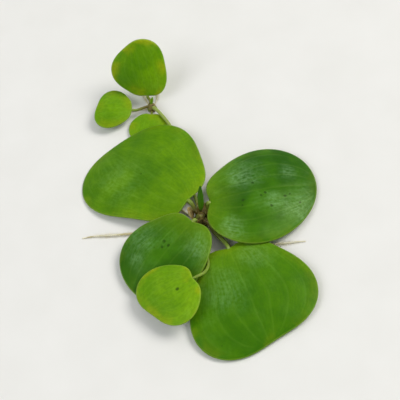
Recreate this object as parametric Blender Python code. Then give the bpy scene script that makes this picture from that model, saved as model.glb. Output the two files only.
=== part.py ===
"""Amazon frogbit: a floating rosette lifted out of the water and set down on a table.

Five round leaves on short stalks spread from a small crown, and a furled young leaf
stands in the middle. Roots lie out along the table under the leaves, and a runner
joins the rosette to a daughter plantlet of three small leaves.

X runs to the right and Y to the back, Z is up. The origin is the middle of the
crown's flat base, which stands on the table. Sizes are in millimetres, and MM turns
them into metres.
"""

import math

import bmesh
import bpy
from mathutils import Euler, Vector

MM = 0.001

# Crown of the rosette and crown of the plantlet
CROWN_RADIUS = 1.9
CROWN_HEIGHT = 4.2
CROWN_BASE_RADIUS = 1.5
DAUGHTER_AT = Vector((-17.0, 39.0, 0.0))
DAUGHTER_CROWN_RADIUS = 1.3
DAUGHTER_CROWN_HEIGHT = 2.8
DAUGHTER_BASE_RADIUS = 1.0
CROWN_SIDES = 20
# Shares of the crown's radius and height, from just above its base to its top
CROWN_PROFILE = ((0.93, 0.14), (1.0, 0.38), (0.9, 0.66), (0.6, 0.88), (0.0, 1.0))

# Gap that neighbouring pieces keep where the living plant grows together
GAP = 0.3

# Leaf blades
BIG_BLADE_SIDES = 36
SMALL_BLADE_SIDES = 24
STIPULE_SIDES = 12
BLADE_RINGS = 8
EDGE_THICKNESS = 0.5
NOTCH_SPREAD = 0.24
LOBE_ANGLE = 0.5
LOBE_SPREAD = 0.3
LOBE_RISE = 0.03
TIP_SPREAD = 0.3
PAD_FULLNESS = 0.8
FURL_SIDES = 12
FURL_RINGS = 10
FURL_TAPER = 0.3

# Stalks, runner and roots
TUBE_SMOOTHNESS = 2
TUBE_STEPS = 4
STALK_FOOT_FLARE = 1.2
STALK_HEAD_TAPER = 0.85
STALK_HANDLE = 2.0
STALK_HEAD_DIP = 0.3
RUNNER_RADIUS = 0.5
RUNNER_HANDLE = 1.5
ROOT_NECK_RADIUS = 0.42
ROOT_BODY_RADIUS = 0.75
ROOT_TIP_RADIUS = 0.35
ROOT_FULL_AT = 0.4
ROOT_TAPER_POWER = 1.5
DAUGHTER_ROOT_SCALE = 0.75
ROOT_STEPS = 12
TABLE_CLEARANCE = 0.03

# Linear colours
LEAF_GREEN = (0.09, 0.27, 0.01)
DARK_LEAF_GREEN = (0.03, 0.15, 0.01)
YOUNG_LEAF_GREEN = (0.2, 0.4, 0.02)
STALK_GREEN = (0.2, 0.26, 0.05)
CROWN_BROWN = (0.1, 0.08, 0.02)
STIPULE_BROWN = (0.16, 0.1, 0.03)
ROOT_CREAM = (0.42, 0.38, 0.2)


class Blade:
    """One leaf blade: where its notch is, which way it points and how it is shaped."""

    def __init__(self, base, heading, size, slope=0.0, roll=0.0, stretch=0.0,
                 stretch_turn=0.0, corners=0.0, corner_turn=0.0, notch=0.11, tip=0.0,
                 dome=2.0, pad=2.2, ripple=0.2, ripple_turn=0.0):
        self.base = Vector(base)
        self.heading = math.radians(heading)
        self.slope = math.radians(slope)
        self.roll = math.radians(roll)
        self.radius = size / 2
        self.stretch = stretch
        self.stretch_turn = math.radians(stretch_turn)
        self.corners = corners
        self.corner_turn = math.radians(corner_turn)
        self.notch = notch
        self.tip = tip
        self.dome = dome
        self.pad = pad
        self.ripple = ripple
        self.ripple_turn = math.radians(ripple_turn)

    def turn(self):
        """Roll about the midrib, then slope, then heading."""
        return Euler((self.roll, -self.slope, self.heading), "XYZ")

    def reach(self, angle):
        """Distance from the middle to the margin; the tip is at angle 0, the notch at pi."""
        from_notch = math.pi - abs(angle)
        share = 1 + self.stretch * math.cos(2 * (angle - self.stretch_turn))
        share += self.corners * math.cos(3 * (angle - self.corner_turn))
        share -= self.notch * math.exp(-((from_notch / NOTCH_SPREAD) ** 2))
        share += LOBE_RISE * math.exp(-(((from_notch - LOBE_ANGLE) / LOBE_SPREAD) ** 2))
        share += self.tip * math.exp(-((angle / TIP_SPREAD) ** 2))
        return share * self.radius

    def surface(self, share, angle, side):
        """A point of the blade: share is 0 in the middle and 1 at the margin."""
        top = self.dome * (1 - share**2)
        top += self.ripple * share**2 * math.cos(2 * angle - self.ripple_turn)
        thickness = EDGE_THICKNESS
        thickness += (self.pad - EDGE_THICKNESS) * (1 - share**2) ** PAD_FULLNESS
        depth = {1: 0.0, 0: EDGE_THICKNESS / 2, -1: thickness}[side]
        out = share * self.reach(angle)
        return Vector((
            self.reach(math.pi) + out * math.cos(angle),
            out * math.sin(angle),
            top - depth,
        ))

    def in_place(self, along, across, up):
        """A point measured from the notch along, across and above the blade."""
        local = Vector((along, across, up))
        local.rotate(self.turn())
        return self.base + local


BLADES = {
    "leaf_left": Blade((-3.3, 4.1, 4.9), heading=141, size=33.5, slope=-7, roll=-3,
                       stretch=0.05, stretch_turn=33, corners=0.09, corner_turn=52),
    "leaf_right": Blade((2.6, 2.7, 5.6), heading=14, size=29.9, slope=-9, dome=2.4,
                        stretch=0.09, stretch_turn=36, ripple_turn=60),
    "leaf_lower_left": Blade((-1.3, -3.5, 6.5), heading=231, size=24.4, slope=-11,
                             stretch=0.045, stretch_turn=-11, corners=0.05,
                             corner_turn=47, dome=1.2, ripple_turn=40),
    "leaf_lower_right": Blade((7.8, -9.7, 3.2), heading=-67, size=31.6, slope=-4,
                              stretch=0.07, stretch_turn=-65, corners=0.09,
                              corner_turn=-54, ripple_turn=120),
    "leaf_small": Blade((-0.2, -20.3, 6.9), heading=209, size=16.6, slope=-12,
                        stretch=0.12, stretch_turn=-66, corners=0.05, corner_turn=-37,
                        notch=0.07, dome=1.0, pad=1.2, ripple=0.1),
}

DAUGHTER_BLADES = {
    "daughter_leaf_tall": Blade((-18.0, 41.5, 3.5), heading=103, size=16.1, slope=51.5,
                                stretch=0.03, stretch_turn=11, corners=0.08,
                                corner_turn=-35, notch=0.05, tip=0.02, dome=1.3, pad=1.4),
    "daughter_leaf_side": Blade((-22.4, 37.2, 2.9), heading=177, size=11.6, slope=4,
                                roll=-7, stretch=0.09, stretch_turn=79, corners=0.055,
                                corner_turn=50, notch=0.0, dome=0.9, pad=1.1,
                                ripple=0.1),
    "daughter_leaf_front": Blade((-16.8, 36.4, 1.35), heading=-97, size=11.0, slope=-2,
                                 stretch=0.06, stretch_turn=90, notch=0.07, dome=0.3,
                                 pad=0.8, ripple=0.05),
}

STALK_ROUTES = {
    # blade, radius, heading and height at the crown, points on the way
    "stalk_left": ("leaf_left", 0.6, 128, 3.0, []),
    "stalk_right": ("leaf_right", 0.6, 36, 3.0, []),
    "stalk_lower_left": ("leaf_lower_left", 0.6, 238, 3.3, []),
    "stalk_lower_right": ("leaf_lower_right", 0.6, -42, 3.0, [(4.2, -5.2, 3.2)]),
    "stalk_small": ("leaf_small", 0.42, -74, 1.7, [(1.9, -6.4, 2.8), (2.4, -11.8, 3.9),
                                                   (2.9, -16.2, 4.3)]),
}

DAUGHTER_STALK_ROUTES = {
    "daughter_stalk_tall": ("daughter_leaf_tall", 0.45, 104, 2.0, []),
    "daughter_stalk_side": ("daughter_leaf_side", 0.4, 192, 1.8, []),
    "daughter_stalk_front": ("daughter_leaf_front", 0.35, -85, 0.9, []),
}

# Heading and height of each stipule's foot on the crown
STIPULES = {"stipule_back": (84, 2.2), "stipule_left": (170, 2.3)}

ROOTS = (
    # heading, length, sway, turn
    (118, 27, 10, 22),
    (148, 28, -10, 16),
    (180, 31, 11, 16),
    (213, 22, -9, 26),
    (247, 26, 12, 10),
    (286, 35, -9, 8),
    (312, 33, 9, -8),
    (-25, 27, -10, 26),
    (21, 26, 9, 12),
    (64, 27, 10, -24),
)

DAUGHTER_ROOTS = (
    (72, 14, 12, 28),
    (124, 15, -12, 14),
    (178, 13, 9, 10),
)

RUNNER_START_HEADING = 104
RUNNER_START_HEIGHT = 1.7
RUNNER_END_HEADING = -42
RUNNER_END_HEIGHT = 1.9
RUNNER_WAY = ((-2.9, 9.4, 1.15), (-5.2, 18.0, 1.05), (-8.4, 26.4, 1.25), (-11.4, 32.4, 1.7))


def material(name, colour, roughness):
    made = bpy.data.materials.new(name)
    made.use_nodes = True
    shader = made.node_tree.nodes["Principled BSDF"]
    shader.inputs["Base Color"].default_value = (*colour, 1.0)
    shader.inputs["Roughness"].default_value = roughness
    shader.inputs["Metallic"].default_value = 0.0
    return made


def new_object(name, data, finish, parent):
    made = bpy.data.objects.new(name, data)
    bpy.context.scene.collection.objects.link(made)
    made.parent = parent
    data.materials.append(finish)
    return made


def mesh_object(name, bm, finish, parent):
    bmesh.ops.recalc_face_normals(bm, faces=bm.faces)
    mesh = bpy.data.meshes.new(name)
    bm.to_mesh(mesh)
    bm.free()
    mesh.shade_smooth()
    return new_object(name, mesh, finish, parent)


def leaf_blade(name, blade, finish, parent, sides):
    """A ball pressed into a dished blade, thick in the middle, with its notch at the origin."""
    bm = bmesh.new()
    bmesh.ops.create_uvsphere(bm, u_segments=sides, v_segments=BLADE_RINGS, radius=1.0)
    for vertex in bm.verts:
        x, y, z = vertex.co
        side = 0 if abs(z) < 1e-4 else int(math.copysign(1, z))
        share = min(1.0, math.hypot(x, y))
        vertex.co = blade.surface(share, math.atan2(y, x), side) * MM
    made = mesh_object(name, bm, finish, parent)
    made.location = blade.base * MM
    made.rotation_euler = blade.turn()


def crown(name, at, radius, height, base_radius, finish, parent):
    """A squat knob of stem, turned on its axis, with a flat base where the roots spring."""
    bm = bmesh.new()
    corners = [bm.verts.new((0, 0, 0)), bm.verts.new((base_radius * MM, 0, 0))]
    for out, up in CROWN_PROFILE:
        corners.append(bm.verts.new((radius * out * MM, 0, height * up * MM)))
    edges = [bm.edges.new(pair) for pair in zip(corners, corners[1:])]
    bmesh.ops.spin(bm, geom=corners + edges, axis=(0, 0, 1), cent=(0, 0, 0),
                   angle=2 * math.pi, steps=CROWN_SIDES, use_merge=True)
    bmesh.ops.remove_doubles(bm, verts=bm.verts, dist=0.001 * MM)
    made = mesh_object(name, bm, finish, parent)
    made.location = at * MM


def tube(name, points, radii, ways, finish, parent):
    """A round tube on a smooth line through the points, leaving and arriving along ways."""
    line = bpy.data.curves.new(name, "CURVE")
    line.dimensions = "3D"
    line.bevel_depth = 1.0 * MM
    line.bevel_resolution = TUBE_SMOOTHNESS
    line.resolution_u = TUBE_STEPS
    line.use_fill_caps = True
    spline = line.splines.new("BEZIER")
    spline.bezier_points.add(len(points) - 1)
    for knot, point, radius in zip(spline.bezier_points, points, radii):
        knot.co = Vector(point) * MM
        knot.radius = radius
        knot.handle_left_type = knot.handle_right_type = "AUTO"
    for knot, way in zip((spline.bezier_points[0], spline.bezier_points[-1]), ways):
        knot.handle_left_type = knot.handle_right_type = "FREE"
        knot.handle_left = knot.co - way * MM
        knot.handle_right = knot.co + way * MM
    new_object(name, line, finish, parent)


def heading_way(heading):
    """The level direction of a heading."""
    angle = math.radians(heading)
    return Vector((math.cos(angle), math.sin(angle), 0.0))


def around(centre, heading, distance, height):
    """A point at that heading, distance and height from the centre."""
    flat = heading_way(heading) * distance
    return Vector((centre.x + flat.x, centre.y + flat.y, height))


def stalk(name, centre, crown_radius, route, blades, finish, parent):
    """From the side of the crown to the notch in the blade's base."""
    leaf, radius, heading, height, middle = route
    blade = blades[leaf]
    start = around(centre, heading, crown_radius + GAP, height)
    under = -EDGE_THICKNESS / 2
    end = blade.in_place(-GAP, 0, under)
    end_way = (end - blade.in_place(-1.0 - GAP, 0, under - STALK_HEAD_DIP)).normalized()
    points = [start, *[Vector(point) for point in middle], end]
    reach = min(STALK_HANDLE, (points[1] - start).length / 3)
    end_reach = min(STALK_HANDLE, (end - points[-2]).length / 3)
    ways = (heading_way(heading) * reach, end_way * end_reach)
    radii = [radius * STALK_FOOT_FLARE, *[radius] * len(middle), radius * STALK_HEAD_TAPER]
    tube(name, points, radii, ways, finish, parent)


def root(name, centre, start_distance, course, scale, finish, parent):
    """A root lying on the table: its heading drifts by turn and sways from side to side."""
    heading, length, sway, turn = course
    neck = ROOT_NECK_RADIUS * scale
    body = ROOT_BODY_RADIUS * scale
    tip = ROOT_TIP_RADIUS * scale
    at = around(centre, heading, start_distance, 0.0)
    line = bpy.data.curves.new(name, "CURVE")
    line.dimensions = "3D"
    line.bevel_depth = 1.0 * MM
    line.bevel_resolution = TUBE_SMOOTHNESS
    line.use_fill_caps = True
    spline = line.splines.new("POLY")
    spline.points.add(ROOT_STEPS)
    for step, knot in enumerate(spline.points):
        share = step / ROOT_STEPS
        swell = math.sin(min(1.0, share / ROOT_FULL_AT) * math.pi / 2) ** 2
        taper = max(0.0, (share - ROOT_FULL_AT) / (1 - ROOT_FULL_AT)) ** ROOT_TAPER_POWER
        radius = neck + (body - neck) * swell
        radius += (tip - radius) * taper
        knot.co = (*(Vector((at.x, at.y, radius + TABLE_CLEARANCE)) * MM), 1.0)
        knot.radius = radius
        way = heading_way(heading + turn * share + sway * math.sin(2 * math.pi * share))
        at = at + way * (length / ROOT_STEPS)
    new_object(name, line, finish, parent)


def furled_leaf(name, foot, top, radius, finish, parent):
    """A young leaf still rolled into a slim spindle."""
    bm = bmesh.new()
    bmesh.ops.create_uvsphere(bm, u_segments=FURL_SIDES, v_segments=FURL_RINGS, radius=1.0)
    foot, top = Vector(foot), Vector(top)
    half = (top - foot).length / 2
    for vertex in bm.verts:
        fuller = 1 - FURL_TAPER * vertex.co.z
        vertex.co.x *= radius * fuller * MM
        vertex.co.y *= radius * fuller * MM
        vertex.co.z *= half * MM
    made = mesh_object(name, bm, finish, parent)
    made.location = (foot + top) / 2 * MM
    made.rotation_mode = "QUATERNION"
    made.rotation_quaternion = (top - foot).to_track_quat("Z", "Y")


def build_rosette(finish, parent):
    middle = Vector((0, 0, 0))
    crown("crown", middle, CROWN_RADIUS, CROWN_HEIGHT, CROWN_BASE_RADIUS,
          finish["crown brown"], parent)

    colours = {"leaf_right": "dark leaf green", "leaf_lower_left": "dark leaf green",
               "leaf_small": "young leaf green"}
    for name, blade in BLADES.items():
        leaf_blade(name, blade, finish[colours.get(name, "leaf green")], parent,
                   BIG_BLADE_SIDES)
    for name, route in STALK_ROUTES.items():
        stalk(name, middle, CROWN_RADIUS, route, BLADES, finish["stalk green"], parent)
    furled_leaf("leaf_furled", (0.2, 1.0, CROWN_HEIGHT + GAP), (0.9, 4.4, 11.2), 0.9,
                finish["dark leaf green"], parent)
    for name, (heading, height) in STIPULES.items():
        foot = around(middle, heading, CROWN_RADIUS + 0.7, height)
        scale = Blade(foot, heading=heading, size=3.4, slope=78, stretch=0.3, notch=0.0,
                      tip=0.15, dome=0.3, pad=0.6, ripple=0.0)
        leaf_blade(name, scale, finish["stipule brown"], parent, STIPULE_SIDES)
    for number, course in enumerate(ROOTS, start=1):
        root(f"root_{number}", middle, CROWN_RADIUS + GAP, course, 1.0,
             finish["root cream"], parent)


def build_daughter(finish, parent):
    crown("daughter_crown", DAUGHTER_AT, DAUGHTER_CROWN_RADIUS, DAUGHTER_CROWN_HEIGHT,
          DAUGHTER_BASE_RADIUS, finish["crown brown"], parent)
    for name, blade in DAUGHTER_BLADES.items():
        leaf_blade(name, blade, finish["leaf green"], parent, SMALL_BLADE_SIDES)
    for name, route in DAUGHTER_STALK_ROUTES.items():
        stalk(name, DAUGHTER_AT, DAUGHTER_CROWN_RADIUS, route, DAUGHTER_BLADES,
              finish["stalk green"], parent)
    foot = DAUGHTER_AT + Vector((0.2, -0.2, DAUGHTER_CROWN_HEIGHT + GAP))
    furled_leaf("daughter_leaf_furled", foot, foot + Vector((1.2, -0.5, 3.6)), 0.5,
                finish["young leaf green"], parent)
    for number, course in enumerate(DAUGHTER_ROOTS, start=1):
        root(f"daughter_root_{number}", DAUGHTER_AT, DAUGHTER_CROWN_RADIUS + GAP, course,
             DAUGHTER_ROOT_SCALE, finish["root cream"], parent)


def build_runner(finish, parent):
    """The runner leaves the crown, passes under the left leaf and ends at the plantlet."""
    start = around(Vector((0, 0, 0)), RUNNER_START_HEADING, CROWN_RADIUS + GAP,
                   RUNNER_START_HEIGHT)
    end = around(DAUGHTER_AT, RUNNER_END_HEADING, DAUGHTER_CROWN_RADIUS + GAP,
                 RUNNER_END_HEIGHT)
    points = [start, *RUNNER_WAY, end]
    radii = [RUNNER_RADIUS] * len(points)
    ways = (heading_way(RUNNER_START_HEADING) * RUNNER_HANDLE,
            -heading_way(RUNNER_END_HEADING) * RUNNER_HANDLE)
    tube("runner", points, radii, ways, finish, parent)


def main():
    for old in list(bpy.data.objects):
        bpy.data.objects.remove(old)
    plant = bpy.data.objects.new("frogbit", None)
    bpy.context.scene.collection.objects.link(plant)
    looks = {
        "leaf green": (LEAF_GREEN, 0.35),
        "dark leaf green": (DARK_LEAF_GREEN, 0.3),
        "young leaf green": (YOUNG_LEAF_GREEN, 0.4),
        "stalk green": (STALK_GREEN, 0.5),
        "crown brown": (CROWN_BROWN, 0.6),
        "stipule brown": (STIPULE_BROWN, 0.6),
        "root cream": (ROOT_CREAM, 0.7),
    }
    finish = {name: material(name, *look) for name, look in looks.items()}
    build_rosette(finish, plant)
    build_daughter(finish, plant)
    build_runner(finish["stalk green"], plant)


main()
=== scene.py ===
"""Looks for an Amazon frogbit, lifted from the water and laid on a pale table.

Each piece of the frame is replaced by a finer one in the same place: dished spongy
leaf blades with arching veins, smooth stalks, a knobbly crown with papery stipules,
a runner, and roots furred with fine hairs. Sizes are in millimetres, and MM turns
them into metres. X runs to the right, Y to the back and Z up, as in the frame.
"""

import math
import random

import bmesh
import bpy
import numpy as np
from mathutils import Euler, Matrix, Vector, noise


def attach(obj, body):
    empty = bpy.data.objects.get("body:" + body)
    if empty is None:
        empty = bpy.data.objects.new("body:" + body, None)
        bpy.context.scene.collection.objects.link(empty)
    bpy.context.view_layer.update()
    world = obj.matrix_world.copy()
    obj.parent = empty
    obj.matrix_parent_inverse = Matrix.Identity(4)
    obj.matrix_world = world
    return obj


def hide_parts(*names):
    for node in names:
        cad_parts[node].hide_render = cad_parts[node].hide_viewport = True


MM = 0.001

# Where the photograph was taken from, and its level direction, seen from the crown
CAMERA_AT = Vector((41.5, -130.8, 215.7))
CAMERA_LEVEL = Vector((0.9993, -0.0300, -0.0218))
AIM_AT = Vector((-0.5, 5.2, 3.0))
LENS = 86.0

# Leaf blades
EDGE_THICKNESS = 0.5
NOTCH_SPREAD = 0.24
LOBE_ANGLE = 0.5
LOBE_SPREAD = 0.3
LOBE_RISE = 0.03
TIP_SPREAD = 0.3
RIM_POWER = 26
VEIN_SPACING = 0.27
VEIN_FURROW = 0.55
VEIN_DEPTH = 0.03
SKIN_UNEVENNESS = 0.16
SKIN_WAVELENGTH = 5.0
SPONGE_CELL = 1.3
SPONGE_RISE = 0.16

# Crowns, tubes and roots
GAP = 0.3
CROWN_RADIUS = 1.9
CROWN_HEIGHT = 4.2
DAUGHTER_AT = Vector((-17.0, 39.0, 0.0))
DAUGHTER_CROWN_RADIUS = 1.3
DAUGHTER_CROWN_HEIGHT = 2.8
STALK_SIDES = 20
STALK_RINGS = 48
RUNNER_RADIUS = 0.5
RUNNER_RINGS = 110
ROOT_STEPS = 12
ROOT_NECK_RADIUS = 0.42
ROOT_BODY_RADIUS = 0.75
ROOT_TIP_RADIUS = 0.35
ROOT_SHARE = 0.42
DAUGHTER_ROOT_SCALE = 0.75
HAIRS_PER_MM = 90
HAIR_LENGTH = 1.05
HAIR_RADIUS = 0.022
TABLE_CLEARANCE = 0.05


class Blade:
    """One leaf blade: where its notch is, which way it points and how it is shaped."""

    def __init__(self, base, heading, size, slope=0.0, roll=0.0, stretch=0.0,
                 stretch_turn=0.0, corners=0.0, corner_turn=0.0, notch=0.11, tip=0.0,
                 dome=2.0, pad=2.2, ripple=0.2, ripple_turn=0.0, skin="mature",
                 marks=(), painted_sheen_spots=(), furrow=1.0, sides=176, rings=76):
        self.base = Vector(base)
        self.turn = Euler((math.radians(roll), -math.radians(slope),
                           math.radians(heading)), "XYZ")
        self.radius = size / 2
        self.stretch = stretch
        self.stretch_turn = math.radians(stretch_turn)
        self.corners = corners
        self.corner_turn = math.radians(corner_turn)
        self.notch = notch
        self.tip = tip
        self.dome = dome
        self.pad = pad
        self.ripple = ripple
        self.ripple_turn = math.radians(ripple_turn)
        self.skin = skin
        self.marks = marks
        # painted sheen: spots where a pale reflection is painted onto the leaf, which is
        # glossier there too
        self.painted_sheen_spots = painted_sheen_spots
        self.furrow = furrow
        self.sides = sides
        self.rings = rings

    def reach(self, angle):
        """Distance from the middle to the margin; the tip is at angle 0, the notch at pi."""
        from_notch = math.pi - abs(angle)
        share = 1 + self.stretch * math.cos(2 * (angle - self.stretch_turn))
        share += self.corners * math.cos(3 * (angle - self.corner_turn))
        share -= self.notch * math.exp(-((from_notch / NOTCH_SPREAD) ** 2))
        share += LOBE_RISE * math.exp(-(((from_notch - LOBE_ANGLE) / LOBE_SPREAD) ** 2))
        share += self.tip * math.exp(-((angle / TIP_SPREAD) ** 2))
        return share * self.radius

    def veins(self, share, angle):
        """Place along the midrib, place across in half widths, and the half width there."""
        along = share * math.cos(angle)
        half = math.sqrt(max(0.03, 1 - along**2))
        return (along + 1) / 2, share * math.sin(angle) / half, half * self.radius

    def spotted(self, spots, share, angle):
        """How strong a spot is here; each spot has a share, an angle and a size in mm."""
        here = Vector((math.cos(angle), math.sin(angle))) * (share * self.reach(angle))
        strongest = 0.0
        for spot_share, degrees, size in spots:
            turn = math.radians(degrees)
            there = Vector((math.cos(turn), math.sin(turn)))
            away = (here - there * (spot_share * self.reach(turn))).length
            strongest = max(strongest, math.exp(-((away / size) ** 2)))
        return strongest

    def in_place(self, along, across, up):
        """A point measured from the notch along, across and above the blade."""
        local = Vector((along, across, up))
        local.rotate(self.turn)
        return self.base + local

    def point(self, share, angle, upper):
        """A point of the blade's upper or lower skin, in the plant's own frame."""
        out = share * self.reach(angle)
        along = self.reach(math.pi) + out * math.cos(angle)
        across = out * math.sin(angle)
        middle = self.dome * (1 - share**2) - EDGE_THICKNESS / 2
        middle += self.ripple * share**2 * math.cos(2 * angle - self.ripple_turn)
        rim = math.sqrt(max(0.0, 1 - share**RIM_POWER))
        waves = noise.noise(Vector((along, across, self.radius)) / SKIN_WAVELENGTH)
        middle += SKIN_UNEVENNESS * waves * rim
        _, side, half = self.veins(share, angle)
        if upper:
            to_vein = abs(side - round(side / VEIN_SPACING) * VEIN_SPACING) * half
            depth = VEIN_DEPTH * (2.0 if abs(side) < VEIN_SPACING / 2 else 1.0)
            fade = min(1.0, (1 - share) * 6) * min(1.0, half / self.radius * 1.6)
            furrow = depth * math.exp(-((to_vein / VEIN_FURROW) ** 2)) * fade
            up = middle + EDGE_THICKNESS / 2 * rim - furrow * self.furrow
        else:
            fill = (1 - share**2) ** 0.8
            up = middle - EDGE_THICKNESS / 2 * rim - (self.pad - EDGE_THICKNESS) * fill
            near, _ = noise.voronoi(Vector((along, across, 0)) / SPONGE_CELL)
            cell = min(1.0, (near[1] - near[0]) * 2.2)
            spongy = max(0.0, 1 - (share / 0.86) ** 4)
            up += SPONGE_RISE * (1 - cell) * spongy
        return self.in_place(along, across, up)


# Each blade lists its dirt marks and then its spots of painted sheen, a pale reflection
# painted onto the leaf that is glossier there too
BLADES = {
    "leaf_left": Blade((-3.3, 4.1, 4.9), heading=141, size=33.5, slope=-7, roll=-3,
                       stretch=0.05, stretch_turn=33, corners=0.09, corner_turn=52,
                       furrow=0.5, marks=((0.09, 99, 0.25), (0.37, -179, 0.22)),
                       painted_sheen_spots=((0.4, 60, 7.0),)),
    "leaf_right": Blade((2.6, 2.7, 5.6), heading=14, size=29.9, slope=-9, dome=2.4,
                        stretch=0.09, stretch_turn=36, ripple_turn=60, skin="old",
                        marks=((0.35, -156, 0.5), (0.46, -26, 0.4), (0.13, -99, 0.45),
                               (0.11, -54, 0.4), (0.53, -18, 0.35), (0.22, 124, 0.4),
                               (0.4, -72, 0.4), (0.42, -146, 0.35), (0.76, -28, 0.4)),
                        painted_sheen_spots=((0.51, 126, 4.6), (0.8, -35, 5.0), (0.6, 28, 2.4),
                             (0.8, -136, 3.2), (0.35, -50, 2.6))),
    "leaf_lower_left": Blade((-1.3, -3.5, 6.5), heading=231, size=24.4, slope=-11,
                             stretch=0.045, stretch_turn=-11, corners=0.05,
                             corner_turn=47, dome=1.2, ripple_turn=40, skin="wet",
                             marks=((0.32, -143, 0.55), (0.24, -169, 0.45),
                                    (0.2, -133, 0.4)),
                             painted_sheen_spots=((0.66, -92, 4.0), (0.72, 138, 3.4), (0.6, -50, 2.4))),
    "leaf_lower_right": Blade((7.8, -9.7, 3.2), heading=-67, size=31.6, slope=-4,
                              stretch=0.07, stretch_turn=-65, corners=0.09,
                              corner_turn=-54, ripple_turn=120, skin="fresh",
                              painted_sheen_spots=((0.43, -122, 5.6), (0.7, 150, 4.0))),
    "leaf_small": Blade((-0.2, -20.3, 6.9), heading=209, size=16.6, slope=-12,
                        stretch=0.12, stretch_turn=-66, corners=0.05, corner_turn=-37,
                        notch=0.07, dome=1.0, pad=1.2, ripple=0.1, skin="young",
                        marks=((0.33, 162, 0.5),), furrow=0.6, sides=128, rings=56),
    "daughter_leaf_tall": Blade((-18.0, 41.5, 3.5), heading=103, size=16.1, slope=51.5,
                                stretch=0.03, stretch_turn=11, corners=0.08,
                                corner_turn=-35, notch=0.05, tip=0.02, dome=1.3, pad=1.4,
                                skin="upright", furrow=0.6, sides=128, rings=56),
    "daughter_leaf_side": Blade((-22.4, 37.2, 2.9), heading=177, size=11.6, slope=4,
                                roll=-7, stretch=0.09, stretch_turn=79, corners=0.055,
                                corner_turn=50, notch=0.0, dome=0.9, pad=1.1,
                                ripple=0.1, skin="daughter", furrow=0.6, sides=128,
                                rings=56),
    "daughter_leaf_front": Blade((-16.8, 36.4, 1.35), heading=-97, size=11.0, slope=-2,
                                 stretch=0.06, stretch_turn=90, notch=0.07, dome=0.3,
                                 pad=0.8, ripple=0.05, skin="daughter", furrow=0.6,
                                 sides=128, rings=56),
}

STALK_ROUTES = {
    # blade, radius, heading and height at the crown, points on the way
    "stalk_left": ("leaf_left", 0.6, 128, 3.0, []),
    "stalk_right": ("leaf_right", 0.6, 36, 3.0, []),
    "stalk_lower_left": ("leaf_lower_left", 0.6, 238, 3.3, []),
    "stalk_lower_right": ("leaf_lower_right", 0.6, -42, 3.0, [(4.2, -5.2, 3.2)]),
    "stalk_small": ("leaf_small", 0.42, -74, 1.7, [(1.9, -6.4, 2.8), (2.4, -11.8, 3.9),
                                                   (2.9, -16.2, 4.3)]),
}

DAUGHTER_STALK_ROUTES = {
    "daughter_stalk_tall": ("daughter_leaf_tall", 0.45, 104, 2.0, []),
    "daughter_stalk_side": ("daughter_leaf_side", 0.4, 192, 1.8, []),
    "daughter_stalk_front": ("daughter_leaf_front", 0.35, -85, 0.9, []),
}

# Heading and height of each stipule's foot on the crown
STIPULES = {"stipule_back": (84, 2.2), "stipule_left": (170, 2.3)}

ROOTS = (
    # heading, length, sway, turn
    (118, 27, 10, 22),
    (148, 28, -10, 16),
    (180, 31, 11, 16),
    (213, 22, -9, 26),
    (247, 26, 12, 10),
    (286, 35, -9, 8),
    (312, 33, 9, -8),
    (-25, 27, -10, 26),
    (21, 26, 9, 12),
    (64, 27, 10, -24),
)

DAUGHTER_ROOTS = (
    (72, 14, 12, 28),
    (124, 15, -12, 14),
    (178, 13, 9, 10),
)

RUNNER_WAY = ((-2.9, 9.4, 1.15), (-5.2, 18.0, 1.05), (-8.4, 26.4, 1.25), (-11.4, 32.4, 1.7))


def linear(code):
    """The linear colour of an sRGB hex code."""
    shades = [int(code[i:i + 2], 16) / 255 for i in (1, 3, 5)]
    return (*[s / 12.92 if s <= 0.04045 else ((s + 0.055) / 1.055) ** 2.4
              for s in shades], 1.0)


def node(tree, kind, links=None, out=0, **settings):
    """Adds a shader node and gives one of its outputs. links gives the node's inputs a
    value or another node's output."""
    made = tree.nodes.new(f"ShaderNode{kind}")
    for key, value in settings.items():
        setattr(made, key, value)
    for key, value in (links or {}).items():
        if isinstance(value, bpy.types.NodeSocket):
            tree.links.new(value, made.inputs[key])
        else:
            made.inputs[key].default_value = value
    return made.outputs[out] if made.outputs else None


def new_material(name):
    """An empty material, its tree, and the surface's own coordinates in millimetres."""
    made = bpy.data.materials.new(name)
    made.use_nodes = True
    tree = made.node_tree
    tree.nodes.clear()
    place = node(tree, "TexCoord", out="Object")
    place = node(tree, "VectorMath", {0: place, "Scale": 1 / MM}, operation="SCALE")
    return made, tree, place


def finish_material(tree, colour, roughness, height, depth, **values):
    """The shader, with its relief of depth mm, on the material's output."""
    relief = node(tree, "Bump", {"Height": height, "Strength": 1.0, "Distance": depth * MM})
    shader = {"Base Color": colour, "Roughness": roughness, "Normal": relief, **values}
    node(tree, "OutputMaterial", {"Surface": node(tree, "BsdfPrincipled", shader)})


# Leaf skins: deeper and lighter green, roughness, painted sheen (pale reflection patches,
# glossier too), specks, yellowing margin
SKINS = {
    "mature": ("#447400", "#5E8C00", 0.38, 0.12, 0.2, 0.2),
    "old": ("#225402", "#3C7002", 0.33, 0.4, 0.6, 0.1),
    "wet": ("#285802", "#3C7004", 0.36, 0.34, 0.5, 0.1),
    "fresh": ("#326600", "#487A00", 0.38, 0.2, 0.3, 0.2),
    "young": ("#5E8E04", "#76A20E", 0.4, 0.2, 0.15, 0.6),
    "daughter": ("#5A8A02", "#6E9C08", 0.4, 0.2, 0.1, 0.45),
    "upright": ("#4E8000", "#6A9802", 0.4, 0.2, 0.1, 0.9),
}


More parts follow.
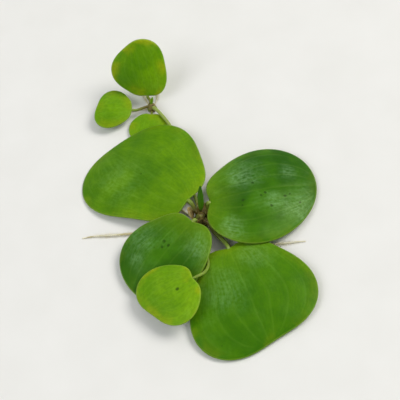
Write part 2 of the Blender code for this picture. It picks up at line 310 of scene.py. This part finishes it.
def leaf_skin(name, deep, light, roughness, painted_sheen_and_gloss_level, specks, yellowing):
    """Waxy leaf cuticle over green cells: a soft satin gloss on finely pebbled skin with
    painted shade in its hollows, yellower at the notch, with faint arching veins, a
    painted highlight along the rim, pale patches of painted sheen where the gloss is
    also raised, and a few specks of dirt."""
    made, tree, place = new_material(f"waxy leaf skin {name}")
    blade_map = node(tree, "UVMap", uv_map="blade")
    along, side, _ = node(tree, "SeparateXYZ", {0: blade_map}).node.outputs
    half, inside, dirt, painted_sheen_spots = [
        node(tree, "Attribute", out="Fac", attribute_name=layer)
        for layer in ("half_width", "from_margin", "dirt", "painted_sheen_spots")]
    blotches, patches, cloudy, pebbles = [
        node(tree, "TexNoise", {"Vector": place, "Scale": 1 / size, "Detail": detail})
        for size, detail in ((8.0, 2.0), (5.0, 2.0), (4.5, 3.0), (0.8, 4.0))]
    stretched = node(tree, "Mapping", {"Vector": blade_map, "Scale": (9, 24, 1)})
    streaks = node(tree, "TexNoise", {"Vector": stretched, "Scale": 1.0, "Detail": 4.0})
    texture = node(tree, "Mix", {0: 0.5, 2: pebbles, 3: streaks})
    to_vein = node(tree, "Math", {0: side, 1: VEIN_SPACING / 2}, operation="PINGPONG")
    to_vein = node(tree, "Math", {0: to_vein, 1: half}, operation="MULTIPLY")
    grit = node(tree, "TexVoronoi", {"Vector": place, "Scale": 1 / 2.6}).node.outputs
    odd = node(tree, "SeparateColor", {0: grit["Color"]})
    ragged = node(tree, "Math", {0: dirt, 1: pebbles}, operation="MULTIPLY")
    # painted sheen: the listed spots and a faint cloud, where a pale reflection is painted
    sheen_painted = node(tree, "Math", {0: painted_sheen_spots, 1: 0.8, 2: cloudy}, operation="MULTIPLY_ADD")

    (tone, notch, tip, margin, patch, painted_hollow_shade, painted_sheen_and_gloss, painted_sheen_grain, line, clear, rim, speck, chosen,
     mark) = [
        node(tree, "MapRange", {0: value, 1: low, 2: high, 3: start, 4: end},
             interpolation_type="SMOOTHSTEP")
        for value, low, high, start, end in (
            (blotches, 0.32, 0.68, 0.0, 1.0),
            (along, 0.02, 0.4, 0.34, 0.0),
            (along, 0.6, 1.0, 0.0, 0.4),
            (inside, 0.2, 3.4, 1.0, 0.0),
            (patches, 0.4, 0.6, 0.0, yellowing),
            # painted shade: darker green in the hollows of the pebbled relief
            (texture, 0.4, 0.6, 0.24, 0.0),
            # painted sheen: a pale reflection painted onto the colour, with the gloss raised
            # there too
            (sheen_painted, 0.42, 1.4, 0.0, 1.0),
            (texture, 0.3, 0.7, 0.0, painted_sheen_and_gloss_level),
            (to_vein, 0.05, 0.4, 0.04, 0.0),
            (inside, 0.3, 3.0, 0.0, 1.0),
            # painted highlight: a thin pale band along the margin
            (inside, 0.1, 0.45, 0.4, 0.0),
            (grit["Distance"], 0.05, 0.11, specks, 0.0),
            (odd, 0.55, 0.75, 0.0, 1.0),
            (ragged, 0.12, 0.34, 0.0, 0.75))]
    fading, painted_sheen_and_gloss, vein, speck = [
        node(tree, "Math", {0: first, 1: second}, operation="MULTIPLY")
        for first, second in ((margin, patch), (painted_sheen_and_gloss, painted_sheen_grain), (line, clear), (speck, chosen))]
    spots = node(tree, "Math", {0: speck, 1: mark}, operation="MAXIMUM")
    colour = linear(deep)
    for share, code in ((tone, light), (notch, "#7AA20C"), (tip, deep), (fading, "#94A00A"),
                        (painted_hollow_shade, "#2A5A04"), (painted_sheen_and_gloss, "#8FBC80"), (vein, "#9AC44A"),
                        (rim, "#8CA83C"), (spots, "#1A3606")):
        colour = node(tree, "Mix", {0: share, 6: colour, 7: linear(code)}, 2,
                      data_type="RGBA")

    rough = node(tree, "MapRange", {0: painted_sheen_and_gloss, 2: painted_sheen_and_gloss_level, 3: roughness + 0.08,
                                    4: roughness - 0.06})
    height = node(tree, "Math", {0: vein, 1: -4.0, 2: texture}, operation="MULTIPLY_ADD")
    finish_material(tree, colour, rough, height, 0.06, **{
        "IOR": 1.45, "Specular IOR Level": 0.25, "Specular Tint": linear("#D6F0A0"),
        "Subsurface Weight": 0.12,
        "Subsurface Radius": (0.4, 1.0, 0.1), "Subsurface Scale": 0.0012})
    return made


def sponge(name):
    """Pale air-filled tissue under a blade: whitish cells, green towards the margin."""
    made, tree, place = new_material(name)
    inside = node(tree, "Attribute", out="Fac", attribute_name="from_margin")
    cells = node(tree, "TexVoronoi", {"Vector": place, "Scale": 1 / 0.9}, "Distance",
                 feature="DISTANCE_TO_EDGE")
    uneven = node(tree, "TexNoise", {"Vector": place, "Scale": 1 / 1.5})
    middle, wall, rim, rough = [
        node(tree, "MapRange", {0: value, 1: low, 2: high, 3: start, 4: end},
             interpolation_type="SMOOTHSTEP")
        for value, low, high, start, end in (
            (inside, 1.0, 5.5, 0.0, 1.0), (cells, 0.02, 0.16, 0.45, 0.0),
            (inside, 0.1, 0.45, 0.4, 0.0), (uneven, 0.3, 0.7, 0.5, 0.65))]
    colour = linear("#6E9A34")
    for share, code in ((middle, "#C3CFA0"), (wall, "#6F9440"), (rim, "#8CA83C")):
        colour = node(tree, "Mix", {0: share, 6: colour, 7: linear(code)}, 2,
                      data_type="RGBA")
    height = node(tree, "Math", {0: wall, 1: -2.2}, operation="MULTIPLY")
    finish_material(tree, colour, rough, height, 0.09, **{
        "IOR": 1.42, "Subsurface Weight": 0.2, "Subsurface Radius": (0.8, 1.0, 0.4),
        "Subsurface Scale": 0.0012})
    return made


def stem_skin(name, fresh, brown, brown_share, roughness, streak, depth):
    """Thin smooth stem skin, browner at its foot, with faint streaks along it."""
    made, tree, place = new_material(name)
    along = node(tree, "Attribute", out="Fac", attribute_name="along")
    stem_map = node(tree, "UVMap", uv_map="blade")
    stretched = node(tree, "Mapping", {"Vector": stem_map, "Scale": (3, 14, 1)})
    streaks = node(tree, "TexNoise", {"Vector": stretched, "Scale": 1.0, "Detail": 3.0})
    blotches = node(tree, "TexNoise", {"Vector": place, "Scale": 1 / 1.6})
    foot, stain, stripe, rough = [
        node(tree, "MapRange", {0: value, 1: low, 2: high, 3: start, 4: end},
             interpolation_type="SMOOTHSTEP")
        for value, low, high, start, end in (
            (along, 0.0, brown_share, 1.0, 0.0), (blotches, 0.5, 0.75, 0.0, 0.35),
            (streaks, 0.45, 0.7, 0.0, 0.3),
            (blotches, 0.3, 0.7, roughness, roughness + 0.15))]
    colour = linear(fresh)
    for share, code in ((foot, brown), (stain, brown), (stripe, streak)):
        colour = node(tree, "Mix", {0: share, 6: colour, 7: linear(code)}, 2,
                      data_type="RGBA")
    finish_material(tree, colour, rough, streaks, depth, **{
        "IOR": 1.42, "Subsurface Weight": 0.25, "Subsurface Radius": (0.8, 1.0, 0.3),
        "Subsurface Scale": 0.001})
    return made


def papery(name):
    """Thin, dried stipule skin: light brown with darker streaks and dark stains."""
    made, tree, place = new_material(name)
    stretched = node(tree, "Mapping", {"Vector": place, "Scale": (1, 1, 0.25)})
    streaks = node(tree, "TexNoise", {"Vector": stretched, "Scale": 1 / 0.35,
                                      "Detail": 3.0})
    blotches = node(tree, "TexNoise", {"Vector": place, "Scale": 1 / 0.9})
    pale, stain = [
        node(tree, "MapRange", {0: value, 1: low, 2: high, 4: end},
             interpolation_type="SMOOTHSTEP")
        for value, low, high, end in ((streaks, 0.35, 0.65, 1.0), (blotches, 0.5, 0.7, 0.7))]
    colour = linear("#8E7A45")
    for share, code in ((pale, "#C2B27C"), (stain, "#5A4220")):
        colour = node(tree, "Mix", {0: share, 6: colour, 7: linear(code)}, 2,
                      data_type="RGBA")
    finish_material(tree, colour, 0.5, streaks, 0.05, **{
        "IOR": 1.45, "Subsurface Weight": 0.2, "Subsurface Radius": (1.0, 0.7, 0.3),
        "Subsurface Scale": 0.0008})
    return made


def crown_tissue(name):
    """Short stem of knobbly brown and olive tissue, with painted shade darkening its creases.
    """
    made, tree, place = new_material(name)
    lumps = node(tree, "TexNoise", {"Vector": place, "Scale": 1 / 0.8, "Detail": 4.0,
                                    "Roughness": 0.65})
    patches = node(tree, "TexNoise", {"Vector": place, "Scale": 1 / 1.7})
    raised, green, rough = [
        node(tree, "MapRange", {0: value, 1: low, 2: high, 3: start, 4: end},
             interpolation_type="SMOOTHSTEP")
        for value, low, high, start, end in (
            (lumps, 0.35, 0.65, 0.0, 1.0), (patches, 0.52, 0.7, 0.0, 1.0),
            (lumps, 0.3, 0.7, 0.6, 0.38))]
    # the tissue's own brown, lightened on the raised lumps and left dark in the creases as
    # painted shade
    colour = linear("#3E2E12")
    for share, code in ((raised, "#857A38"), (green, "#5E7A24")):
        colour = node(tree, "Mix", {0: share, 6: colour, 7: linear(code)}, 2,
                      data_type="RGBA")
    finish_material(tree, colour, rough, lumps, 0.16, IOR=1.42)
    return made


def root_skin(name, pale, stained, blotch, roughness, **values):
    """Soft, slightly see-through skin of the roots and their hairs: cream, stained
    brown in places."""
    made, tree, place = new_material(name)
    blotches = node(tree, "TexNoise", {"Vector": place, "Scale": 1 / blotch,
                                       "Detail": 3.0})
    stain = node(tree, "MapRange", {0: blotches, 1: 0.4, 2: 0.7},
                 interpolation_type="SMOOTHSTEP")
    colour = node(tree, "Mix", {0: stain, 6: linear(pale), 7: linear(stained)}, 2,
                  data_type="RGBA")
    finish_material(tree, colour, roughness, blotches, 0.03, **{
        "IOR": 1.4, "Subsurface Radius": (1.0, 0.9, 0.6), **values})
    return made


def finish_piece(cad_node, mesh, finishes):
    """Makes the mesh the piece that is seen in place of a node of the frame."""
    for finish in finishes:
        mesh.materials.append(finish)
    made = bpy.data.objects.new(f"{cad_node}_surface", mesh)
    bpy.context.scene.collection.objects.link(made)
    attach(made, "root")
    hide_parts(cad_node)
    return made


def ball(sides, rings):
    """A ball to be pressed into shape, with layers for what its material reads."""
    bm = bmesh.new()
    bmesh.ops.create_uvsphere(bm, u_segments=sides, v_segments=rings, radius=1.0)
    for face in bm.faces:
        face.smooth = True
    bm.loops.layers.uv.new("blade")
    for name in ("half_width", "from_margin", "along", "dirt", "painted_sheen_spots"):
        bm.verts.layers.float.new(name)
    return bm


def face_outwards(bm):
    """Turns a closed shape round if it came out inside out. Its volume tells, because
    Blender's own recalculation guesses wrong on a thin dish."""
    if bm.calc_volume(signed=True) < 0:
        bmesh.ops.reverse_faces(bm, faces=bm.faces)


def to_mesh(name, bm):
    mesh = bpy.data.meshes.new(name)
    bm.to_mesh(mesh)
    bm.free()
    return mesh


def leaf_blade(name, blade, finishes):
    """A ball pressed into the dished blade, its lower half in the underside's finish."""
    bm = ball(blade.sides, blade.rings)
    uv = bm.loops.layers.uv["blade"]
    half_width = bm.verts.layers.float["half_width"]
    from_margin = bm.verts.layers.float["from_margin"]
    dirt = bm.verts.layers.float["dirt"]
    painted_sheen_spots = bm.verts.layers.float["painted_sheen_spots"]
    maps = {}
    for face in bm.faces:
        face.material_index = 0 if face.calc_center_median().z > 0 else 1
    for vertex in bm.verts:
        x, y, z = vertex.co
        angle = math.atan2(y, x)
        depth = math.acos(min(1.0, abs(z))) / (math.pi / 2)
        share = 0.6 * depth + 0.4 * math.sin(depth * math.pi / 2)
        along, side, half = blade.veins(share, angle)
        vertex[half_width] = half
        vertex[from_margin] = (1 - share) * blade.reach(angle)
        vertex[dirt] = blade.spotted(blade.marks, share, angle)
        # painted sheen: how strongly a pale reflection is painted at this point
        vertex[painted_sheen_spots] = blade.spotted(blade.painted_sheen_spots, share, angle)
        maps[vertex] = (along, side)
        vertex.co = blade.point(share, angle, z > 1e-4) * MM
    for face in bm.faces:
        for loop in face.loops:
            loop[uv].uv = maps[loop.vert]
    face_outwards(bm)
    return finish_piece(name, to_mesh(name, bm), finishes)


def smooth_route(points, ways, steps):
    """Points along a smooth line that leaves and arrives along ways."""
    curve = bpy.data.curves.new("route", "CURVE")
    curve.dimensions = "3D"
    curve.resolution_u = 24
    spline = curve.splines.new("BEZIER")
    spline.bezier_points.add(len(points) - 1)
    for knot, point in zip(spline.bezier_points, points):
        knot.co = point
        knot.handle_left_type = knot.handle_right_type = "AUTO"
    for knot, way in zip((spline.bezier_points[0], spline.bezier_points[-1]), ways):
        knot.handle_left_type = knot.handle_right_type = "FREE"
        knot.handle_left = knot.co - way
        knot.handle_right = knot.co + way
    holder = bpy.data.objects.new("route", curve)
    bpy.context.scene.collection.objects.link(holder)
    seen = holder.evaluated_get(bpy.context.evaluated_depsgraph_get()).to_mesh()
    line = [vertex.co.copy() for vertex in seen.vertices]
    bpy.data.objects.remove(holder)
    bpy.data.curves.remove(curve)
    return even_line(line, steps)


def even_line(line, steps):
    """The same line at evenly spaced points."""
    places = [0.0]
    for before, after in zip(line, line[1:]):
        places.append(places[-1] + (after - before).length)
    even, at = [], 0
    for step in range(steps + 1):
        place = places[-1] * step / steps
        while at < len(line) - 2 and places[at + 1] < place:
            at += 1
        span = max(places[at + 1] - places[at], 1e-9)
        even.append(line[at].lerp(line[at + 1], (place - places[at]) / span))
    return even


def frames(line):
    """Two directions across the line at each of its points, turning as little as they can."""
    across = []
    side = Vector((0, 0, 1))
    for step, point in enumerate(line):
        ahead = line[min(step + 1, len(line) - 1)] - line[max(step - 1, 0)]
        ahead.normalize()
        side = side - ahead * side.dot(ahead)
        side.normalize()
        across.append((side.copy(), ahead.cross(side)))
    return across


def drawn_tube(line, radii, sides, wobble=0.05, wobble_length=1.2):
    """A ball drawn out along a line, with a radius at each of its points."""
    rings = len(line) - 1
    length = sum((b - a).length for a, b in zip(line, line[1:]))
    bm = ball(sides, rings)
    uv = bm.loops.layers.uv["blade"]
    along = bm.verts.layers.float["along"]
    across = frames(line)
    turns = {}
    for vertex in bm.verts:
        x, y, z = vertex.co
        ring = round(math.acos(max(-1.0, min(1.0, z))) / math.pi * rings)
        radius = radii[ring] if 0 < ring < rings else 0.0
        up, out = across[ring]
        angle = math.atan2(y, x)
        place = line[ring] + up * (radius * math.cos(angle)) + out * (radius * math.sin(angle))
        swell = 1 + wobble * noise.noise(place / wobble_length)
        place = line[ring] + (place - line[ring]) * swell
        vertex[along] = ring / rings
        turns[vertex] = angle / (2 * math.pi)
        vertex.co = place * MM
    for face in bm.faces:
        last = max(turns[vertex] for vertex in face.verts)
        for loop in face.loops:
            turned = turns[loop.vert] + (last - turns[loop.vert] > 0.5)
            loop[uv].uv = (loop.vert[along] * length / 10, turned)
    face_outwards(bm)
    return bm


def heading_way(heading):
    """The level direction of a heading."""
    angle = math.radians(heading)
    return Vector((math.cos(angle), math.sin(angle), 0.0))


def around(centre, heading, distance, height):
    """A point at that heading, distance and height from the centre."""
    flat = heading_way(heading) * distance
    return Vector((centre.x + flat.x, centre.y + flat.y, height))


def stalk(name, centre, crown_radius, route, finish):
    """From inside the crown's side to the notch, where it spreads into the blade."""
    leaf, radius, heading, height, middle = route
    blade = BLADES[leaf]
    start = around(centre, heading, crown_radius + GAP, height)
    under = -EDGE_THICKNESS / 2
    end = blade.in_place(-GAP, 0, under)
    end_way = (end - blade.in_place(-1.0 - GAP, 0, under - 0.3)).normalized()
    points = [start, *[Vector(point) for point in middle], end]
    reach = min(2.0, (points[1] - start).length / 3)
    end_reach = min(2.0, (end - points[-2]).length / 3)
    ways = (heading_way(heading) * reach, end_way * end_reach)
    line = smooth_route(points, ways, STALK_RINGS)
    foot = start - heading_way(heading) * (GAP + 0.5)
    heads = [blade.in_place(0.3, 0, under - 0.16), blade.in_place(0.9, 0, under - 0.34),
             blade.in_place(1.6, 0, under - 0.42)]
    line = even_line([foot, *line, *heads], STALK_RINGS)
    radii = []
    for step in range(STALK_RINGS + 1):
        share = step / STALK_RINGS
        flare = 1 + 0.4 * math.exp(-share * 9)
        ending = 1 - 0.45 * max(0.0, (share - 0.75) / 0.25) ** 2
        radii.append(radius * 0.95 * flare * ending)
    bm = drawn_tube(line, radii, STALK_SIDES)
    return finish_piece(name, to_mesh(name, bm), [finish])


def root_course(centre, start_distance, course, scale, steps):
    """The line of a root on the table and its radius, as the frame's own solid has them."""
    heading, length, sway, turn = course
    neck = ROOT_NECK_RADIUS * scale
    body = ROOT_BODY_RADIUS * scale
    tip = ROOT_TIP_RADIUS * scale
    at = around(centre, heading, start_distance, 0.0)
    knots, radii = [], []
    for step in range(ROOT_STEPS + 1):
        share = step / ROOT_STEPS
        swell = math.sin(min(1.0, share * 2.5) * math.pi / 2) ** 2
        taper = max(0.0, (share - 0.4) / 0.6) ** 1.5
        radius = neck + (body - neck) * swell
        radius += (tip - radius) * taper
        knots.append(Vector((at.x, at.y, radius)))
        radii.append(radius)
        way = heading_way(heading + turn * share + sway * math.sin(2 * math.pi * share))
        at = at + way * (length / ROOT_STEPS)
    ways = ((knots[1] - knots[0]) / 3, (knots[-1] - knots[-2]) / 3)
    line = smooth_route(knots, ways, steps)
    even_radii = [float(np.interp(s / steps * ROOT_STEPS, range(ROOT_STEPS + 1), radii))
                  for s in range(steps + 1)]
    return line, even_radii


def hair_blank():
    """One fine hair: a slim three-sided cone, cut once so that it can bend."""
    bm = bmesh.new()
    bmesh.ops.create_cone(bm, cap_ends=True, segments=3, radius1=1.0, radius2=0.0,
                          depth=1.0, matrix=Matrix.Translation((0, 0, 0.5)))
    slanted = [e for e in bm.edges if abs(e.verts[0].co.z - e.verts[1].co.z) > 0.5]
    bmesh.ops.subdivide_edges(bm, edges=slanted, cuts=1)
    bmesh.ops.triangulate(bm, faces=bm.faces)
    face_outwards(bm)
    places = np.array([vertex.co[:] for vertex in bm.verts])
    faces = np.array([[vertex.index for vertex in face.verts] for face in bm.faces])
    bm.free()
    return places, faces


def hair_mesh(name, line, radii, scale, seed):
    """A joined mesh of hairs that stand out from a root and droop onto the table."""
    rng = random.Random(seed)
    blank, blank_faces = hair_blank()
    across = frames(line)
    length = sum((b - a).length for a, b in zip(line, line[1:]))
    places = []
    for _ in range(int(length * HAIRS_PER_MM)):
        share = rng.uniform(0.05, 0.985)
        at = share * (len(line) - 1)
        ring = int(at)
        root = line[ring].lerp(line[ring + 1], at - ring)
        ahead = (line[ring + 1] - line[ring]).normalized()
        up, out = across[ring]
        angle = rng.uniform(-2.3, 2.3) + (0 if rng.random() < 0.5 else math.pi)
        way = up * (math.cos(angle) * 0.55) + out * math.sin(angle)
        way = (way + ahead * rng.uniform(-0.1, 0.75)).normalized()
        reach = HAIR_LENGTH * scale * rng.uniform(0.45, 1.15)
        reach *= min(1.0, (share - 0.02) * 6) * min(1.0, (1.02 - share) * 5)
        side = way.cross(Vector((rng.uniform(-1, 1), rng.uniform(-1, 1), 1))).normalized()
        other = way.cross(side)
        turn = np.array([side[:], other[:], way[:]])
        spread = blank * (HAIR_RADIUS, HAIR_RADIUS, reach)
        hair = spread @ turn + np.array(root[:])
        hair += np.outer(blank[:, 2] ** 2, np.array(out[:]) * rng.uniform(-0.3, 0.3))
        hair[:, 2] -= blank[:, 2] ** 2 * 0.35 * reach
        hair[:, 2] = np.maximum(hair[:, 2], TABLE_CLEARANCE)
        places.append(hair)
    count = len(places)
    faces = (blank_faces[None] + np.arange(count)[:, None, None] * len(blank)).reshape(-1, 3)
    mesh = bpy.data.meshes.new(name)
    mesh.from_pydata(np.concatenate(places) * MM, [], faces)
    return mesh


def root(name, centre, start_distance, course, scale, seed, finishes):
    """A thin root core with its hairs, in place of the plain tube of the frame."""
    steps = 5 * course[1]
    line, radii = root_course(centre, start_distance, course, scale, steps)
    core_radii = [radius * ROOT_SHARE for radius in radii]
    core = []
    for point, radius in zip(line, core_radii):
        sway = noise.noise(Vector((point.x, point.y, seed)) / 4.0) * 0.3
        core.append(Vector((point.x, point.y, radius + TABLE_CLEARANCE + abs(sway) * 0.4)))
    start = around(centre, course[0], start_distance - GAP - 0.5, core[0].z + 0.1)
    core[0] = core[0].lerp(start, 0.9)
    bm = drawn_tube(core, core_radii, 10, 0.12, 0.8)
    hair = hair_mesh(f"{name}_hair", core, core_radii, scale, seed)
    hair_faces = len(hair.polygons)
    bm.from_mesh(hair)
    bpy.data.meshes.remove(hair)
    bm.faces.ensure_lookup_table()
    for face in bm.faces[-hair_faces:]:
        face.material_index = 1
        face.smooth = False
    return finish_piece(name, to_mesh(name, bm), finishes)


def crown(name, at, radius, height, base_radius, finish, seed):
    """A squat knob of stem turned on its axis, then roughened, its base left flat."""
    profile = [(base_radius, 0.0)]
    for step in range(1, 22):
        share = step / 22
        bulge = math.sin(math.pi * (0.28 + 0.72 * share)) ** 0.6
        rings = 1 + 0.05 * math.sin(share * 26)
        profile.append((radius * bulge * rings, height * share))
    bm = bmesh.new()
    corners = [bm.verts.new((0, 0, 0))]
    corners += [bm.verts.new((r * MM, 0, z * MM)) for r, z in profile]
    corners.append(bm.verts.new((0, 0, height * MM)))
    edges = [bm.edges.new(pair) for pair in zip(corners, corners[1:])]
    bmesh.ops.spin(bm, geom=corners + edges, axis=(0, 0, 1), cent=(0, 0, 0),
                   angle=2 * math.pi, steps=48, use_merge=True)
    bmesh.ops.remove_doubles(bm, verts=bm.verts, dist=0.002 * MM)
    bmesh.ops.recalc_face_normals(bm, faces=bm.faces)
    for face in bm.faces:
        face.smooth = True
    for vertex in bm.verts:
        if vertex.co.z > 0.02 * MM:
            place = vertex.co / MM
            rough = 0.28 * noise.noise(place * 1.1 + Vector((seed, 0, 0)))
            rough += 0.12 * noise.noise(place * 2.6)
            out = Vector((place.x, place.y, 0.3 * place.z))
            vertex.co += out.normalized() * rough * MM
            vertex.co.z = min(vertex.co.z, height * MM)
        vertex.co += at * MM
    face_outwards(bm)
    return finish_piece(name, to_mesh(name, bm), [finish])


def furled_leaf(name, foot, top, radius, finish):
    """A young leaf rolled into a slim spindle, with its free edge winding up it."""
    foot, top = Vector(foot), Vector(top)
    bm = ball(48, 64)
    uv = bm.loops.layers.uv["blade"]
    half_width = bm.verts.layers.float["half_width"]
    from_margin = bm.verts.layers.float["from_margin"]
    half = (top - foot).length / 2
    turn = (top - foot).to_track_quat("Z", "Y")
    maps = {}
    for vertex in bm.verts:
        x, y, z = vertex.co
        angle = math.atan2(y, x)
        vertex[half_width] = radius * 2
        vertex[from_margin] = 4 * radius
        maps[vertex] = (0.4 + 0.2 * z, angle / math.pi)
        fuller = radius * (1 - 0.3 * z)
        edge = ((angle - 1.6 * z) / (2 * math.pi)) % 1.0
        spread = 0.8 + 0.2 * edge
        local = Vector((x * fuller * spread, y * fuller * spread, z * half))
        local.rotate(turn)
        vertex.co = ((foot + top) / 2 + local) * MM
    for face in bm.faces:
        for loop in face.loops:
            loop[uv].uv = maps[loop.vert]
    face_outwards(bm)
    return finish_piece(name, to_mesh(name, bm), [finish])


def stipule(name, heading, height, finish):
    """A thin, wrinkled papery scale that cups the foot of the stalks."""
    foot = around(Vector((0, 0, 0)), heading, CROWN_RADIUS, height - 0.3)
    scale = Blade(foot, heading=heading, size=3.4, slope=78, stretch=0.3, notch=0.0,
                  tip=0.15, dome=0.3, pad=0.6, ripple=0.0)
    bm = ball(64, 40)
    for vertex in bm.verts:
        x, y, z = vertex.co
        share, angle = min(1.0, math.hypot(x, y)), math.atan2(y, x)
        ragged = 1 - 0.12 * abs(noise.noise(Vector((angle * 3.5, heading, 0))))
        out = share * scale.reach(angle) * ragged
        along = scale.reach(math.pi) + out * math.cos(angle)
        across = out * math.sin(angle)
        wrinkle = 0.1 * noise.noise(Vector((along * 0.4, across * 2.4, heading)))
        cup = 0.16 * across**2
        up = cup + wrinkle + z * 0.09 - EDGE_THICKNESS / 2
        vertex.co = scale.in_place(along, across, up) * MM
    face_outwards(bm)
    return finish_piece(name, to_mesh(name, bm), [finish])


def runner(name, finish):
    """The smooth runner between the two crowns."""
    start_heading, end_heading = 104, -42
    start = around(Vector((0, 0, 0)), start_heading, CROWN_RADIUS + GAP, 1.7)
    end = around(DAUGHTER_AT, end_heading, DAUGHTER_CROWN_RADIUS + GAP, 1.9)
    points = [start, *[Vector(point) for point in RUNNER_WAY], end]
    ways = (heading_way(start_heading) * 1.5, -heading_way(end_heading) * 1.5)
    foot = start - heading_way(start_heading) * (GAP + 0.8)
    head = end - heading_way(end_heading) * (GAP + 0.8)
    line = smooth_route(points, ways, RUNNER_RINGS)
    line = even_line([foot, *line, head], RUNNER_RINGS)
    radii = [RUNNER_RADIUS * (0.94 + 0.2 * math.exp(-min(s, RUNNER_RINGS - s) / 5))
             for s in range(RUNNER_RINGS + 1)]
    bm = drawn_tube(line, radii, STALK_SIDES)
    return finish_piece(name, to_mesh(name, bm), [finish])


def build_plant():
    under = sponge("spongy leaf underside")
    skins = {name: leaf_skin(name, *values) for name, values in SKINS.items()}
    for name, blade in BLADES.items():
        leaf_blade(name, blade, [skins[blade.skin], under])

    stalk_skin = stem_skin("stalk skin", "#76902C", "#64501F", 0.8, 0.35, "#A0B058", 0.03)
    runner_skin = stem_skin("runner skin", "#8A9C44", "#7A6A34", 0.08, 0.35, "#B8C07C", 0.03)
    middle = Vector((0, 0, 0))
    for name, route in STALK_ROUTES.items():
        stalk(name, middle, CROWN_RADIUS, route, stalk_skin)
    for name, route in DAUGHTER_STALK_ROUTES.items():
        stalk(name, DAUGHTER_AT, DAUGHTER_CROWN_RADIUS, route, stalk_skin)
    runner("runner", runner_skin)

    tissue = crown_tissue("crown tissue")
    crown("crown", middle, CROWN_RADIUS, CROWN_HEIGHT, 1.5, tissue, 1)
    crown("daughter_crown", DAUGHTER_AT, DAUGHTER_CROWN_RADIUS, DAUGHTER_CROWN_HEIGHT, 1.0,
          tissue, 4)
    furled_leaf("leaf_furled", (0.2, 1.0, CROWN_HEIGHT + GAP), (0.9, 4.4, 11.2), 0.9,
                skins["old"])
    foot = DAUGHTER_AT + Vector((0.2, -0.2, DAUGHTER_CROWN_HEIGHT + GAP))
    furled_leaf("daughter_leaf_furled", foot, foot + Vector((1.2, -0.5, 3.6)), 0.5,
                skins["young"])
    paper = papery("papery stipule")
    for name, (heading, height) in STIPULES.items():
        stipule(name, heading, height, paper)

    root_finishes = [
        root_skin("root skin", "#E6E0C0", "#BFB282", 2.2, 0.5,
                  **{"Subsurface Weight": 0.3, "Subsurface Scale": 0.001}),
        root_skin("root hair", "#F4F1DC", "#D6CCA4", 3.0, 0.6,
                  **{"Subsurface Weight": 0.5, "Subsurface Scale": 0.0003})]
    for number, course in enumerate(ROOTS, start=1):
        root(f"root_{number}", middle, CROWN_RADIUS + GAP, course, 1.0, number,
             root_finishes)
    for number, course in enumerate(DAUGHTER_ROOTS, start=1):
        root(f"daughter_root_{number}", DAUGHTER_AT, DAUGHTER_CROWN_RADIUS + GAP, course,
             DAUGHTER_ROOT_SCALE, 20 + number, root_finishes)


def build_table():
    """A plain pale table top under the plant."""
    bm = bmesh.new()
    bmesh.ops.create_grid(bm, x_segments=1, y_segments=1, size=1.5)
    mesh = to_mesh("table_top", bm)
    made, tree, place = new_material("matt white table")
    cloudy, fine = [node(tree, "TexNoise", {"Vector": place, "Scale": 1 / size})
                    for size in (14.0, 1.2)]
    colour = node(tree, "Mix", {0: cloudy, 6: linear("#DEDDD8"), 7: linear("#E6E5E1")}, 2,
                  data_type="RGBA")
    finish_material(tree, colour, 0.75, fine, 0.01)
    mesh.materials.append(made)
    table = bpy.data.objects.new("table_top", mesh)
    bpy.context.scene.collection.objects.link(table)


def area_light(name, at, aim, size, power, colour):
    lamp = bpy.data.lights.new(name, "AREA")
    lamp.shape = "DISK"
    lamp.size = size * MM
    lamp.energy = power
    lamp.color = linear(colour)[:3]
    made = bpy.data.objects.new(name, lamp)
    made.location = at * MM
    made.rotation_euler = (aim - at).to_track_quat("-Z", "Y").to_euler()
    bpy.context.scene.collection.objects.link(made)


def build_light():
    """Soft daylight: a wide window at the right, a dim one behind, and a pale room."""
    middle = Vector((0, 0, 0))
    area_light("window", Vector((1080, 420, 1290)), middle, 960, 20.0, "#FFFDF8")
    area_light("window_behind", Vector((-330, 990, 1260)), middle, 660, 1.8, "#FFFFFF")
    area_light("room", Vector((-990, -600, 1260)), middle, 1260, 10.8, "#F8FAFF")
    world = bpy.data.worlds.new("pale room")
    world.use_nodes = True
    tree = world.node_tree
    tree.nodes.clear()
    way = node(tree, "TexCoord", out="Generated")
    height = node(tree, "SeparateXYZ", {0: way}, "Z")
    bright = node(tree, "MapRange", {0: height, 1: 0.05, 2: 0.45, 3: 0.8, 4: 0.4},
                  interpolation_type="SMOOTHSTEP")
    walls = node(tree, "Background", {0: linear("#F2F4F6"), 1: bright})
    node(tree, "OutputWorld", {"Surface": walls})
    bpy.context.scene.world = world
    bpy.context.scene.view_settings.view_transform = "Standard"


def build_camera():
    """The photograph's viewpoint, turned and drawn in until the plant fills the frame."""
    ahead = (AIM_AT - CAMERA_AT).normalized()
    level = (CAMERA_LEVEL - ahead * CAMERA_LEVEL.dot(ahead)).normalized()
    up = level.cross(ahead)
    lens = bpy.data.cameras.new("camera")
    lens.lens = LENS
    lens.clip_start = 0.01
    camera = bpy.data.objects.new("camera", lens)
    turn = Matrix((level, up, -ahead)).transposed()
    camera.matrix_world = Matrix.Translation(CAMERA_AT * MM) @ turn.to_4x4()
    bpy.context.scene.collection.objects.link(camera)
    bpy.context.scene.camera = camera


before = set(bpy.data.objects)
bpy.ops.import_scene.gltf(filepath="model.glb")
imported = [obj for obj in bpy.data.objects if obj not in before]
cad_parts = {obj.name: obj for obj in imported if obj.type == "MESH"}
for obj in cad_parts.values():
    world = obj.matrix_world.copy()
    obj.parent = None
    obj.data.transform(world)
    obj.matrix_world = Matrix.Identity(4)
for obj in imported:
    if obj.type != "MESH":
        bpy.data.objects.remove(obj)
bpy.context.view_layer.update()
build_camera()
build_plant()
build_table()
build_light()
